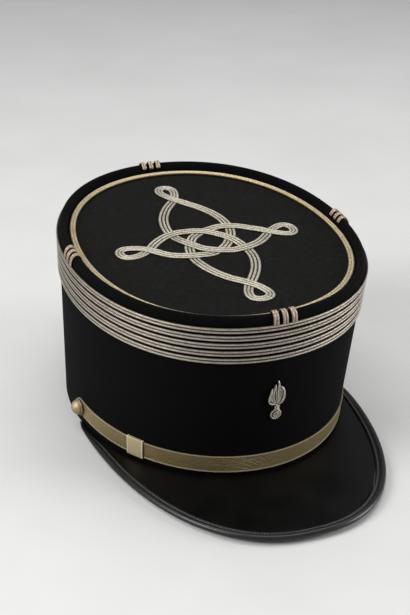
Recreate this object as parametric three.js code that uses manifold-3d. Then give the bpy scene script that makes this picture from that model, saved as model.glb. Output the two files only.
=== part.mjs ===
// A kepi cap: a stiff oval crown with a sunk top, rows of lace braid, a chin strap and a flat peak.
// Millimetres, +Z up. The cap stands on its bottom edge, and its front faces -Y.

import * as THREE from 'three';
import { mergeVertices } from 'three/addons/utils/BufferGeometryUtils.js';
import loadManifold from 'manifold-3d';

// Driving dimensions

const GAP = 0.3; // clearance between neighbouring pieces
const AROUND = 64; // steps round the crown

// The wall leans from the base oval to the rim oval, which sits further forward. The rim is a little
// fuller than an ellipse, and widest before its middle.
const BASE = { halfWidth: 84, halfLength: 102.5, centreY: 0, fullness: 0, egg: 0 };
const RIM = { halfWidth: 87.4, halfLength: 104.4, centreY: -8.4, fullness: 0.023, egg: 0.023 };
const WALL_THICKNESS = 2.5;

// The crest of the rim lies in one plane, which falls towards the front.
const CREST = { height: 114.4, slope: 0.053 };

// The padded rim in section, measured inward from the outer face and down from the crest.
const ROLL = { crestIn: 2.6, outerDrop: 4.8, innerIn: 5.5, innerDrop: 6.6, underside: 13 };

// The sunk top is a little more level than the crest, so it is sunk less in front than behind.
const TOP = { drop: 5.9, slope: 0.0457, thickness: 2 };
const RING_BRAID = { inward: 8.4, width: 3.4, thickness: 1.8 };

const BRAID = { rows: 5, firstDrop: 5.2, pitch: 4.9, width: 4.1, thickness: 1.3, groove: 0.6 };
const STRIPE = { perSide: 3, pitch: 5.3, width: 3.2, thickness: 1.1, groove: 0.6, endTurn: 145 };

// The knot is one closed band: four arcs that wind round the middle, and a loop at each arm's end.
const KNOT = { centreX: -0.6, centreY: -11.8, thickness: 1.4, waist: 10.8, armWidth: 6.6, loopWidth: 5.7 };
const KNOT_ARMS = [
  { angle: 89.9, crossing: 59.7, tip: 79.5, power: 2.74, loopHalf: 4.8 },
  { angle: 180, crossing: 38.3, tip: 56.5, power: 2.23, loopHalf: 5.9 },
  { angle: 271.5, crossing: 55.8, tip: 74.6, power: 2.91, loopHalf: 6.1 },
  { angle: 360.4, crossing: 38.6, tip: 55.2, power: 2.31, loopHalf: 6.3 },
];

// The strap runs round the front between two buttons, and rises a little towards them.
const STRAP = { middle: 10.1, rise: 3, width: 11.4, thickness: 1.1, chamfer: 0.3 };
const SLIDE = { rightAngle: 218.2, leftAngle: 338, length: 11.6, wall: 1 };
const BUTTON = { angle: 187.7, radius: 5.3, flange: 0.7, step: 0.6, dome: 4.3 };

// The peak's outline is a superellipse in plan, tucked in beside the crown at its two ends.
const PEAK = { halfWidth: 86.9, backY: -7, reach: 162.2, exponent: 2.32, tuck: 1.4, thickness: 2.1 };
const PEAK_ARCH = 2;
const PEAK_TIP_DEPTH = 3.2;
const PEAK_STEPS = 44;
const BINDING_TAPER = { clear: 2.4, leastWidth: 0.25, leastHeight: 0.5, tipDepth: 2.1 };

// The rolled edge in section: distance in from the outline, and height.
const BINDING = [
  { inset: 1.4, z: 0 },
  { inset: 6.2, z: 0 },
  { inset: 6.2, z: 2.5 },
  { inset: 4.9, z: 3.3 },
  { inset: 3.9, z: 2.7 },
  { inset: 3.2, z: 2.7 },
  { inset: 1.8, z: 3.7 },
  { inset: 0.5, z: 3.1 },
  { inset: 0, z: 1.9 },
  { inset: 0.3, z: 0.8 },
];
const BINDING_WIDTH = 6.2;

// The badge is a ball under a flame. Each tongue of the flame has a hollow before it and a tip,
// from left to right, measured from the middle of the ball. Its right side is one full curve.
const BADGE = { ballZ: 42.9, ballRadius: 3.5, thickness: 1.2, centreX: 1.3, neckHalf: 1.8, neckTop: 6.4 };
const FLAME = [
  { hollowX: -5.1, hollowY: 9.6, tipX: -3.4, tipY: 18.2 },
  { hollowX: -2.7, hollowY: 14.5, tipX: -1.4, tipY: 20.6 },
  { hollowX: -0.8, hollowY: 18.2, tipX: -0.2, tipY: 23 },
  { hollowX: 0.9, hollowY: 18.6, tipX: 1.9, tipY: 19.4 },
];
const FLAME_SIDE = [
  { x: 3.7, y: 16.6 },
  { x: 4.4, y: 13.7 },
  { x: 4, y: 9.8 },
];

const FINISH = {
  crownCloth: { color: 0x141416, roughness: 0.95, metalness: 0 },
  topCloth: { color: 0x26272a, roughness: 0.95, metalness: 0 },
  silverLace: { color: 0xc4beb0, roughness: 0.45, metalness: 0.6 },
  paleGoldLace: { color: 0xcfc2a0, roughness: 0.45, metalness: 0.6 },
  strapLace: { color: 0x9a8c66, roughness: 0.5, metalness: 0.5 },
  gilt: { color: 0xd9c48a, roughness: 0.25, metalness: 1 },
  peakLeather: { color: 0x1b1b1c, roughness: 0.45, metalness: 0 },
};

const turn = THREE.MathUtils.degToRad;
const lerp = THREE.MathUtils.lerp;

// Crown surfaces: t is the angle round the oval, 0 at the wearer's left (+X) and -90 degrees in front.

function outward(t) {
  return new THREE.Vector2(Math.cos(t) / BASE.halfWidth, Math.sin(t) / BASE.halfLength).normalize();
}

function onOval({ halfWidth, halfLength, centreY, fullness, egg }, t) {
  const full = 1 + fullness * Math.sin(2 * t) ** 2;
  const x = halfWidth * Math.cos(t) * (1 - egg * Math.sin(t)) * full;
  return new THREE.Vector2(x, centreY + halfLength * Math.sin(t) * full);
}

// Millimetres along an oval for each radian of t.
function ovalSpeed(oval, t) {
  return Math.hypot(oval.halfWidth * Math.sin(t), oval.halfLength * Math.cos(t));
}

function crestPlane(y) {
  return CREST.height + CREST.slope * (y - RIM.centreY);
}

function topPlane(y) {
  return CREST.height - TOP.drop + TOP.slope * (y - RIM.centreY);
}

function crestAt(t) {
  return crestPlane(onOval(RIM, t).y);
}

// A point of the wall's outer face at height z, pushed out from the face.
function wallPoint(t, z, out = 0) {
  const climb = z / (crestAt(t) - ROLL.outerDrop);
  const plan = onOval(BASE, t).lerp(onOval(RIM, t), climb).addScaledVector(outward(t), out);
  return new THREE.Vector3(plan.x, plan.y, z);
}

// The leaning wall's outward normal.
function wallFacing(t, z) {
  const small = 1e-3;
  const around = wallPoint(t + small, z).sub(wallPoint(t - small, z));
  const up = wallPoint(t, z + small).sub(wallPoint(t, z - small));
  return around.cross(up).normalize();
}

// A point measured inward from the rim's outer face and down from the crest's plane.
function rimPoint(t, inward, drop) {
  const plan = onOval(RIM, t).addScaledVector(outward(t), -inward);
  return new THREE.Vector3(plan.x, plan.y, crestPlane(plan.y) - drop);
}

// A point over the sunk top, measured inward from the rim's outer face and up from the cloth.
function topPoint(t, inward, up) {
  const plan = rimPoint(t, inward, 0);
  return plan.setZ(topPlane(plan.y) + up);
}

// The rolled rim as two elliptic quarters: 0 degrees at the outer face, 90 on the crest, 180 inside.
function rollPoint(t, roll, out = 0) {
  const outer = roll <= Math.PI / 2;
  const across = outer ? ROLL.crestIn : ROLL.innerIn - ROLL.crestIn;
  const down = outer ? ROLL.outerDrop : ROLL.innerDrop;
  const normal = new THREE.Vector2(-Math.cos(roll) / across, -Math.sin(roll) / down).normalize();
  const inward = ROLL.crestIn - across * Math.cos(roll) + normal.x * out;
  const drop = down - down * Math.sin(roll) + normal.y * out;
  return rimPoint(t, inward, drop);
}

// Building solids

function steps(count, from, to) {
  return Array.from({ length: count + 1 }, (_, i) => lerp(from, to, i / count));
}

const aroundCrown = steps(AROUND, 0, 2 * Math.PI).slice(0, AROUND);

function closedGeometry(points, faces) {
  const volume = faces.reduce((sum, [a, b, c]) => {
    return sum + points[a].dot(new THREE.Vector3().crossVectors(points[b], points[c]));
  }, 0);
  const outFacing = volume > 0 ? faces : faces.map(([a, b, c]) => [c, b, a]);
  const geometry = new THREE.BufferGeometry().setFromPoints(points);
  geometry.setIndex(outFacing.flat());
  geometry.computeVertexNormals();
  return geometry;
}

// Sweeps a section through stations; place(station, point) puts a section point in space.
// The section of an open sweep is a list of [u, v], counter-clockwise.
function sweep(section, stations, place, closed = false) {
  const points = stations.flatMap((station) => section.map((point) => place(station, point)));
  const size = section.length;
  const faces = [];
  const spans = closed ? stations.length : stations.length - 1;
  for (let i = 0; i < spans; i++) {
    const here = i * size;
    const next = ((i + 1) % stations.length) * size;
    for (let j = 0; j < size; j++) {
      const k = (j + 1) % size;
      faces.push([here + j, here + k, next + k], [here + j, next + k, next + j]);
    }
  }
  if (!closed) {
    const outline = section.map(([u, v]) => new THREE.Vector2(u, v));
    const end = (stations.length - 1) * size;
    for (const [a, b, c] of THREE.ShapeUtils.triangulateShape(outline, [])) {
      faces.push([c, b, a], [end + a, end + b, end + c]);
    }
  }
  return closedGeometry(points, faces);
}

// A flat plate of a plan outline, from z = 0 up to its thickness.
function plate(outline, thickness) {
  const geometry = new THREE.ExtrudeGeometry(new THREE.Shape(outline), {
    depth: thickness,
    bevelEnabled: false,
  });
  return bare(geometry);
}

function bare(geometry) {
  geometry.deleteAttribute('normal');
  geometry.deleteAttribute('uv');
  return mergeVertices(geometry, 1e-4);
}

// Leans a plate made flat about z = 0 into the sunk top's sloping plane.
function leanToTop(geometry) {
  const lean = new THREE.Matrix4().set(1, 0, 0, 0, 0, 1, 0, 0, 0, TOP.slope, 1, topPlane(0), 0, 0, 0, 1);
  geometry.applyMatrix4(lean);
  geometry.computeVertexNormals();
  return geometry;
}

const manifold = await loadManifold();
manifold.setup();

function toSolid(geometry) {
  return new manifold.Manifold(new manifold.Mesh({
    numProp: 3,
    vertProperties: new Float32Array(geometry.attributes.position.array),
    triVerts: new Uint32Array(geometry.index.array),
  }));
}

function union(geometries) {
  const joined = geometries.map(toSolid).reduce((all, next) => all.add(next));
  const { vertProperties, triVerts } = joined.getMesh();
  const geometry = new THREE.BufferGeometry();
  geometry.setAttribute('position', new THREE.BufferAttribute(vertProperties, 3));
  geometry.setIndex(new THREE.BufferAttribute(triVerts, 1));
  return geometry;
}

const cap = new THREE.Group();

function addPiece(name, geometry, finish) {
  const mesh = new THREE.Mesh(geometry, new THREE.MeshStandardMaterial({ name, ...FINISH[finish] }));
  mesh.name = name;
  cap.add(mesh);
  return mesh;
}

// A soutache braid in section: two round strands with a groove between, as [across, out from the face].
function soutache(width, thickness, groove) {
  return [
    [-width / 2, GAP],
    [width / 2, GAP],
    [width / 4, GAP + thickness],
    [0, GAP + thickness * groove],
    [-width / 4, GAP + thickness],
  ];
}

// Crown

function crownWall() {
  const roll = steps(6, 0, Math.PI).map((angle) => (t) => rollPoint(t, angle));
  const section = [
    (t) => wallPoint(t, 0),
    (t) => wallPoint(t, crestAt(t) / 2),
    ...roll,
    (t) => topPoint(t, ROLL.innerIn, -TOP.thickness - GAP),
    (t) => wallPoint(t, crestAt(t) - ROLL.underside, -WALL_THICKNESS),
    (t) => wallPoint(t, crestAt(t) / 2, -WALL_THICKNESS),
    (t) => wallPoint(t, 0, -WALL_THICKNESS),
  ];
  return sweep(section, aroundCrown, (t, point) => point(t), true);
}

function crownTop() {
  const outline = aroundCrown.map((t) => {
    const { x, y } = rimPoint(t, ROLL.innerIn + GAP, 0);
    return new THREE.Vector2(x, y);
  });
  const disc = plate(outline, TOP.thickness);
  return leanToTop(disc.translate(0, 0, -TOP.thickness));
}

function topRingBraid() {
  const { inward, width, thickness } = RING_BRAID;
  const section = soutache(width, thickness, BRAID.groove);
  const place = (t, [across, out]) => topPoint(t, inward - across, out);
  return sweep(section, aroundCrown, place, true);
}

function braidRow(row) {
  const drop = BRAID.firstDrop + BRAID.width / 2 + row * BRAID.pitch;
  const section = soutache(BRAID.width, BRAID.thickness, BRAID.groove);
  const place = (t, [across, out]) => wallPoint(t, crestAt(t) - drop + across, out);
  return sweep(section, aroundCrown, place, true);
}

// A short braid that climbs over the rim, shifted sideways along it.
function rimStripe(side, shift) {
  const speed = ovalSpeed(RIM, side);
  const section = soutache(STRIPE.width, STRIPE.thickness, STRIPE.groove);
  const place = (roll, [across, out]) => rollPoint(side + (shift + across) / speed, roll, out);
  return sweep(section, steps(7, 0, turn(STRIPE.endTurn)), place);
}

// Knot on the top

// A flat band along a plan path.
function band(path, width) {
  const sides = path.map((point, i) => {
    const before = path[Math.max(i - 1, 0)];
    const after = path[Math.min(i + 1, path.length - 1)];
    const along = after.clone().sub(before).normalize();
    const half = new THREE.Vector2(-along.y, along.x).multiplyScalar(width / 2);
    return { left: point.clone().add(half), right: point.clone().sub(half) };
  });
  return plate([...sides.map((s) => s.right), ...sides.map((s) => s.left).reverse()], KNOT.thickness);
}

function fromPolar(angle, radius) {
  return new THREE.Vector2(KNOT.centreX + radius * Math.cos(angle), KNOT.centreY + radius * Math.sin(angle));
}

// One arc of the knot winds three quarters of a turn round the middle, from one arm's end to the next.
function knotArc(from, to) {
  const start = turn(from.angle);
  const sweepAngle = turn((from.angle - to.angle + 720) % 360);
  const path = steps(28, 0, 1).map((s) => {
    const arm = s < 0.5 ? from : to;
    const swing = Math.abs(2 * s - 1);
    const radius = KNOT.waist + (arm.crossing - KNOT.waist) * swing ** arm.power;
    return fromPolar(start - s * sweepAngle, radius);
  });
  return band(path, KNOT.armWidth);
}

// One half of the teardrop loop at an arm's end, from just past its tip back to the crossing.
function knotLoopHalf(arm, side) {
  const angle = turn(arm.angle);
  const length = arm.tip - arm.crossing;
  const across = new THREE.Vector2(-Math.sin(angle), Math.cos(angle));
  const path = steps(10, -0.1, 1).map((s) => {
    const along = arm.crossing + length * Math.cos(s * Math.PI / 2);
    const aside = side * arm.loopHalf * Math.sin(s * Math.PI);
    return fromPolar(angle, along).addScaledVector(across, aside);
  });
  return band(path, KNOT.loopWidth);
}

function topKnot() {
  const arcs = KNOT_ARMS.map((arm, i) => knotArc(arm, KNOT_ARMS[(i + 1) % KNOT_ARMS.length]));
  const loops = KNOT_ARMS.flatMap((arm) => [knotLoopHalf(arm, 1), knotLoopHalf(arm, -1)]);
  const knot = union([...arcs, ...loops]);
  return leanToTop(knot.translate(0, 0, GAP));
}

// Chin strap

const strapEnd = turn(BUTTON.angle);
const FRONT = turn(270);

function strapHeight(t) {
  const aside = Math.abs(t - FRONT) / (FRONT - strapEnd);
  return STRAP.middle + STRAP.rise * aside ** 4;
}

// The strap's ends are half round about the buttons.
function chinStrap() {
  const { width, thickness, chamfer } = STRAP;
  const half = width / 2;
  const section = [
    [-half, GAP],
    [half, GAP],
    [half, GAP + thickness - chamfer],
    [half - 2 * chamfer, GAP + thickness],
    [2 * chamfer - half, GAP + thickness],
    [-half, GAP + thickness - chamfer],
  ];
  const round = half / ovalSpeed(BASE, strapEnd);
  const roundSteps = steps(5, turn(12), turn(90)).map((a) => round * Math.cos(a));
  const first = roundSteps.map((back) => ({ t: strapEnd - back, reach: Math.sqrt(1 - (back / round) ** 2) }));
  const last = first.map(({ t, reach }) => ({ t: 2 * FRONT - t, reach })).reverse();
  const middle = steps(30, strapEnd, 2 * FRONT - strapEnd).slice(1, -1).map((t) => ({ t, reach: 1 }));
  const place = ({ t, reach }, [across, out]) => wallPoint(t, strapHeight(t) + across * reach, out);
  return sweep(section, [...first, ...middle, ...last], place);
}

// A slide is a loop of lace that straddles the strap.
function strapSlide(angle) {
  const inner = STRAP.width / 2 + GAP;
  const outer = inner + SLIDE.wall;
  const face = GAP + STRAP.thickness + GAP;
  const front = face + SLIDE.wall;
  const bevel = SLIDE.wall / 2;
  const section = [
    [-inner, GAP],
    [-inner, face],
    [inner, face],
    [inner, GAP],
    [outer, GAP],
    [outer, front - bevel],
    [outer - bevel, front],
    [bevel - outer, front],
    [-outer, front - bevel],
    [-outer, GAP],
  ];
  const half = SLIDE.length / 2 / ovalSpeed(BASE, angle);
  const place = (t, [across, out]) => wallPoint(t, strapHeight(t) + across, out);
  return sweep(section, steps(4, angle - half, angle + half), place);
}

// A domed button on a thin flange, turned about +Y.
function buttonGeometry() {
  const { radius, flange, step, dome } = BUTTON;
  const profile = [
    [0, 0],
    [radius - flange / 2, 0],
    [radius, flange / 2],
    [radius - flange / 2, flange],
    ...steps(4, 0, turn(80)).map((a) => [(radius - step) * Math.cos(a), flange + dome * Math.sin(a)]),
    [0, flange + dome],
  ];
  return bare(new THREE.LatheGeometry(profile.map(([r, y]) => new THREE.Vector2(r, y)), 20));
}

function addButton(name, t) {
  const z = strapHeight(t);
  const button = addPiece(name, buttonGeometry(), 'gilt');
  button.position.copy(wallPoint(t, z, GAP + STRAP.thickness + GAP));
  button.quaternion.setFromUnitVectors(new THREE.Vector3(0, 1, 0), wallFacing(t, z));
}

// Peak

// The peak's outline in plan, s from 0 at the wearer's left to 1 at the right.
function peakOutline(s) {
  const angle = s * Math.PI;
  const power = 2 / PEAK.exponent;
  const halfWidth = PEAK.halfWidth - PEAK.tuck * (1 - Math.sin(angle)) ** 10;
  const x = halfWidth * Math.sign(Math.cos(angle)) * Math.abs(Math.cos(angle)) ** power;
  return new THREE.Vector2(x, PEAK.backY - PEAK.reach * Math.sin(angle) ** power);
}

function peakInward(s) {
  const small = 1e-3;
  const along = peakOutline(s + small).sub(peakOutline(s - small)).normalize();
  return new THREE.Vector2(along.y, -along.x);
}

// How far the outline stands out from the crown's foot.
function peakDepth(s) {
  const { x, y } = peakOutline(s);
  const level = (x / BASE.halfWidth) ** 2 + (y / BASE.halfLength) ** 2 - 1;
  return level / Math.hypot(2 * x / BASE.halfWidth ** 2, 2 * y / BASE.halfLength ** 2);
}

// The binding narrows and flattens where the peak runs out beside the crown.
function bindingScale(s) {
  const full = (peakDepth(s) - BINDING_TAPER.clear) / BINDING_WIDTH;
  return {
    width: THREE.MathUtils.clamp(full, BINDING_TAPER.leastWidth, 1),
    height: THREE.MathUtils.clamp(full, BINDING_TAPER.leastHeight, 1),
  };
}

// The peak is arched a little: its front edge stands clear of the table in the middle.
function archAt(s) {
  return PEAK_ARCH * Math.sin(s * Math.PI) ** 3;
}

function peakLeather() {
  const section = [[0, 0], [0.5, 0], [1, 0], [1, 1], [0.5, 1], [0, 1]];
  const place = (s, [reach, up]) => {
    const edge = peakOutline(s).addScaledVector(peakInward(s), bindingScale(s).width * BINDING_WIDTH + GAP);
    const t = Math.atan2(edge.y / BASE.halfLength, edge.x / BASE.halfWidth);
    const foot = wallPoint(t, up * PEAK.thickness, GAP);
    const z = foot.z + archAt(s) * reach ** 2;
    return new THREE.Vector3(lerp(foot.x, edge.x, reach), lerp(foot.y, edge.y, reach), z);
  };
  return sweep(section, peakStations(PEAK_TIP_DEPTH), place);
}

function peakBinding() {
  const section = BINDING.map(({ inset, z }) => [inset, z]);
  const place = (s, [inset, z]) => {
    const { width, height } = bindingScale(s);
    const plan = peakOutline(s).addScaledVector(peakInward(s), inset * width);
    return new THREE.Vector3(plan.x, plan.y, z * height + archAt(s));
  };
  return sweep(section, peakStations(BINDING_TAPER.tipDepth), place);
}

// Stations along the outline, from where it first stands out from the crown by a given depth.
// They are closer together near the two ends, where the outline turns fastest.
function peakStations(depth) {
  const first = steps(2000, 0, 0.5).find((s) => s > 0.002 && peakDepth(s) >= depth);
  const lean = Math.acos(1 - 2 * first);
  return steps(PEAK_STEPS, lean, Math.PI - lean).map((angle) => (1 - Math.cos(angle)) / 2);
}

// Badge

function flameBadge() {
  const { ballRadius, neckHalf, neckTop, thickness } = BADGE;
  const neckTurn = Math.asin(neckHalf / ballRadius);
  const ball = steps(16, neckTurn, 2 * Math.PI - neckTurn).map((a) => {
    return new THREE.Vector2(ballRadius * Math.sin(a), ballRadius * Math.cos(a));
  });
  const tongues = FLAME.flatMap(({ hollowX, hollowY, tipX, tipY }) => {
    return [new THREE.Vector2(hollowX, hollowY), new THREE.Vector2(tipX, tipY)];
  });
  const side = FLAME_SIDE.map(({ x, y }) => new THREE.Vector2(x, y));
  const neck = [new THREE.Vector2(-neckHalf, neckTop), new THREE.Vector2(neckHalf, neckTop)];
  const badge = plate([...ball, neck[0], ...tongues, ...side, neck[1]], thickness);
  badge.computeVertexNormals();
  return badge;
}

function addBadge() {
  const facing = wallFacing(FRONT, BADGE.ballZ);
  const badge = addPiece('flame_badge', flameBadge(), 'silverLace');
  badge.position.copy(wallPoint(FRONT, BADGE.ballZ, 2 * GAP)).setX(BADGE.centreX);
  badge.rotation.x = Math.atan2(-facing.y, facing.z);
}

// The whole cap

addPiece('crown_wall', crownWall(), 'crownCloth');
addPiece('crown_top', crownTop(), 'topCloth');
addPiece('top_ring_braid', topRingBraid(), 'paleGoldLace');
addPiece('top_knot', topKnot(), 'silverLace');

for (let row = 0; row < BRAID.rows; row++) {
  addPiece(`braid_row_${row + 1}`, braidRow(row), 'silverLace');
}

// The stripes stand in line with the knot, which sits a little in front of the rim's middle.
const SIDES = { front: 271, right: 181.1, back: 90, left: 356.8 };
for (const [side, angle] of Object.entries(SIDES)) {
  for (let i = 0; i < STRIPE.perSide; i++) {
    const shift = (i - (STRIPE.perSide - 1) / 2) * STRIPE.pitch;
    addPiece(`rim_stripe_${side}_${i + 1}`, rimStripe(turn(angle), shift), 'paleGoldLace');
  }
}

addPiece('chin_strap', chinStrap(), 'strapLace');
addPiece('strap_slide_right', strapSlide(turn(SLIDE.rightAngle)), 'strapLace');
addPiece('strap_slide_left', strapSlide(turn(SLIDE.leftAngle)), 'strapLace');
addButton('strap_button_right', strapEnd);
addButton('strap_button_left', 2 * FRONT - strapEnd);
addPiece('peak', peakLeather(), 'peakLeather');
addPiece('peak_binding', peakBinding(), 'peakLeather');
addBadge();

// The origin is under the middle of the whole cap, peak included.
cap.position.y = (PEAK.reach - PEAK.backY - BASE.halfLength) / 2;

export default cap;
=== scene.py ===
# %% [markdown]
# # Dressing a kepi
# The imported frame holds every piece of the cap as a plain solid, at its real size and place.
# In this lesson each soft solid is replaced by a piece that looks like the real stuff: black cloth,
# twisted metal lace, gilt buttons and polished leather. Nothing is moved or resized on the way, so
# every new piece is worked out from the same few sizes as the solid that it stands for.

# %% Load the frame
import math
from collections import namedtuple

import bmesh
import bpy
from mathutils import Matrix, Vector


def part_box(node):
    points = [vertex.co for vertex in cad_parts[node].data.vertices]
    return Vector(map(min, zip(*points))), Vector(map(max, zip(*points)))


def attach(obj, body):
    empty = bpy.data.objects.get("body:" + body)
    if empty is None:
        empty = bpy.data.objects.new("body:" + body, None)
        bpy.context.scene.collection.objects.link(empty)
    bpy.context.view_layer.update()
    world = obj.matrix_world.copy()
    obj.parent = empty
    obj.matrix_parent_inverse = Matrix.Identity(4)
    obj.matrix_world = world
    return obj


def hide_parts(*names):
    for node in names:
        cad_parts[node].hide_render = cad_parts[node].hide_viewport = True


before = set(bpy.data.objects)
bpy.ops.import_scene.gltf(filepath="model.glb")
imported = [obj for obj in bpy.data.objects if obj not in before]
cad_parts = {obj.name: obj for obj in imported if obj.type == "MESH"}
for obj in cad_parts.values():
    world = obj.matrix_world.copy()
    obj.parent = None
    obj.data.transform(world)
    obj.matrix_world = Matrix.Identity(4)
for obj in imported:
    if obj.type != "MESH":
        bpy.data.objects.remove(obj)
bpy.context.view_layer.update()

# %% [markdown]
# ## The crown's surfaces
# A kepi's wall leans from an oval foot to a larger oval rim, and the rim is a soft roll that falls
# towards the front. Nearly every other piece lies on that wall or on that roll. So the first step
# isn't a mesh at all: it is a handful of functions that give a point on the wall, on the roll or on
# the sunk top. The angle t goes round the oval from the wearer's left, and the front is at 270 degrees.
# Sizes are in millimetres in the cap's own frame, and to_scene turns them into the frame's metres.

# %% Sizes of the crown
MM = 0.001
TURN = 2 * math.pi
GAP = 0.3
Oval = namedtuple("Oval", "half_width half_length centre_y fullness egg")
BASE = Oval(84, 102.5, 0, 0, 0)
RIM = Oval(87.4, 104.4, -8.4, 0.023, 0.023)
CREST_HEIGHT = 114.4
CREST_SLOPE = 0.053
WALL_THICKNESS = 2.5
ROLL_CREST_IN = 2.6
ROLL_OUTER_DROP = 4.8
ROLL_INNER_IN = 5.5
ROLL_INNER_DROP = 6.6
ROLL_UNDERSIDE = 13
TOP_DROP = 5.9
TOP_SLOPE = 0.0457
TOP_THICKNESS = 2
FRONT = math.radians(270)

CAP_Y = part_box("crown_wall")[1].y / MM - BASE.half_length


# %% Points on the crown
def to_scene(point):
    return Vector((point[0], point[1] + CAP_Y, point[2])) * MM


def outward(t):
    return Vector((math.cos(t) / BASE.half_width, math.sin(t) / BASE.half_length)).normalized()


def on_oval(oval, t):
    """A point of an oval that may be fuller than an ellipse, and widest before its middle like an egg."""
    full = 1 + oval.fullness * math.sin(2 * t) ** 2
    x = oval.half_width * math.cos(t) * (1 - oval.egg * math.sin(t)) * full
    return Vector((x, oval.centre_y + oval.half_length * math.sin(t) * full))


def oval_speed(oval, t):
    """Millimetres along an oval for each radian of t."""
    return math.hypot(oval.half_width * math.sin(t), oval.half_length * math.cos(t))


def crest_plane(y):
    return CREST_HEIGHT + CREST_SLOPE * (y - RIM.centre_y)


def top_plane(y):
    return CREST_HEIGHT - TOP_DROP + TOP_SLOPE * (y - RIM.centre_y)


def crest_at(t):
    return crest_plane(on_oval(RIM, t).y)


def wall_point(t, z, out=0):
    climb = z / (crest_at(t) - ROLL_OUTER_DROP)
    plan = on_oval(BASE, t).lerp(on_oval(RIM, t), climb) + outward(t) * out
    return Vector((plan.x, plan.y, z))


def wall_facing(t, z):
    """The leaning wall's outward normal."""
    step = 1e-3
    around = wall_point(t + step, z) - wall_point(t - step, z)
    up = wall_point(t, z + step) - wall_point(t, z - step)
    return around.cross(up).normalized()


def rim_point(t, inward, drop):
    plan = on_oval(RIM, t) - outward(t) * inward
    return Vector((plan.x, plan.y, crest_plane(plan.y) - drop))


def top_point(t, inward, up):
    """A point over the sunk top, measured inward from the rim and up from the cloth."""
    plan = on_oval(RIM, t) - outward(t) * inward
    return Vector((plan.x, plan.y, top_plane(plan.y) + up))


def roll_point(t, roll, out=0):
    """A point on the rolled rim: roll is 0 at the outer face, 90 degrees on the crest and 180 inside."""
    outer = roll <= math.pi / 2
    across = ROLL_CREST_IN if outer else ROLL_INNER_IN - ROLL_CREST_IN
    down = ROLL_OUTER_DROP if outer else ROLL_INNER_DROP
    normal = Vector((-math.cos(roll) / across, -math.sin(roll) / down)).normalized()
    inward = ROLL_CREST_IN - across * math.cos(roll) + normal.x * out
    drop = down - down * math.sin(roll) + normal.y * out
    return rim_point(t, inward, drop)


def evenly(count, first, last):
    return [first + (last - first) * i / count for i in range(count + 1)]


def clamp(x):
    return min(max(x, 0), 1)


print("crest in front", round(crest_at(FRONT), 1), "mm, behind", round(crest_at(FRONT - math.pi), 1), "mm")

# %% [markdown]
# ## Two small tools
# Most pieces of a cap are a section that travels along a path: a strand of lace, the strap, the edge of
# the peak. A curve with a bevel could do that, but its section can't change on the way. Here a flat grid
# is rolled up instead. One side of the grid follows the path and the other goes round the section, and
# a seat function says where each vertex belongs. The grid also brings a UV map, which follows
# the piece for free. Where the path or the section closes on itself, the doubled seam is merged.

# %% Roll a grid along a path
GRID_HALF = 0.5
MERGE_DISTANCE = 1e-7


def rolled(section, steps, seat, closed=True, **measures):
    """Rolls a grid into a piece. Each measure is kept on the vertices under its own name."""
    bm = bmesh.new()
    bm.loops.layers.uv.new("weave")
    layers = {name: bm.verts.layers.float.new(name) for name in measures}
    bmesh.ops.create_grid(bm, x_segments=steps, y_segments=len(section), size=GRID_HALF, calc_uvs=True)
    for v in bm.verts:
        s = v.co.x + GRID_HALF
        item = section[round((v.co.y + GRID_HALF) * len(section)) % len(section)]
        for name, measure in measures.items():
            v[layers[name]] = measure(s, item)
        v.co = to_scene(seat(s, item))
    bmesh.ops.remove_doubles(bm, verts=bm.verts, dist=MERGE_DISTANCE)
    if not closed:
        bmesh.ops.holes_fill(bm, edges=[e for e in bm.edges if e.is_boundary], sides=0)
    bmesh.ops.recalc_face_normals(bm, faces=bm.faces)
    return bm


# %% Make a piece of the cap
SHARP_ANGLE = 40
RIBBED_SHARP_ANGLE = 80


def piece(name, bm, finish, slot, *nodes, ribbed=False):
    """Makes an object that rides on the cap and stands for its CAD nodes."""
    mesh = bpy.data.meshes.new(name)
    sharp = math.radians(RIBBED_SHARP_ANGLE if ribbed else SHARP_ANGLE)
    for edge in bm.edges:
        if len(edge.link_faces) == 2 and edge.calc_face_angle() > sharp:
            edge.smooth = False
    for face in bm.faces:
        face.smooth = True
    bm.to_mesh(mesh)
    bm.free()
    mesh.materials.append(finish)
    obj = bpy.data.objects.new(name, mesh)
    bpy.context.scene.collection.objects.link(obj)
    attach(obj, "root")
    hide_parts(*nodes)
    print(name, "has", len(mesh.polygons), "faces")


def join(parts):
    """Gathers several bmeshes into one."""
    whole = bmesh.new()
    for part in parts:
        held = bpy.data.meshes.new("held")
        part.to_mesh(held)
        part.free()
        whole.from_mesh(held)
        bpy.data.meshes.remove(held)
    return whole


# %% [markdown]
# ## Finishes
# Each finish is a Principled BSDF with a few procedural textures in front of it. The textures read Object
# coordinates, which are metres here, so a scale of 2000 gives a grain of about half a millimetre.
# What is the same all over a surface, such as sheen, is set on the shader itself.

# %% Node helpers
MIX_FACTOR = 0
MIX_A = 6
MIX_B = 7
MIX_RESULT = 2


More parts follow.
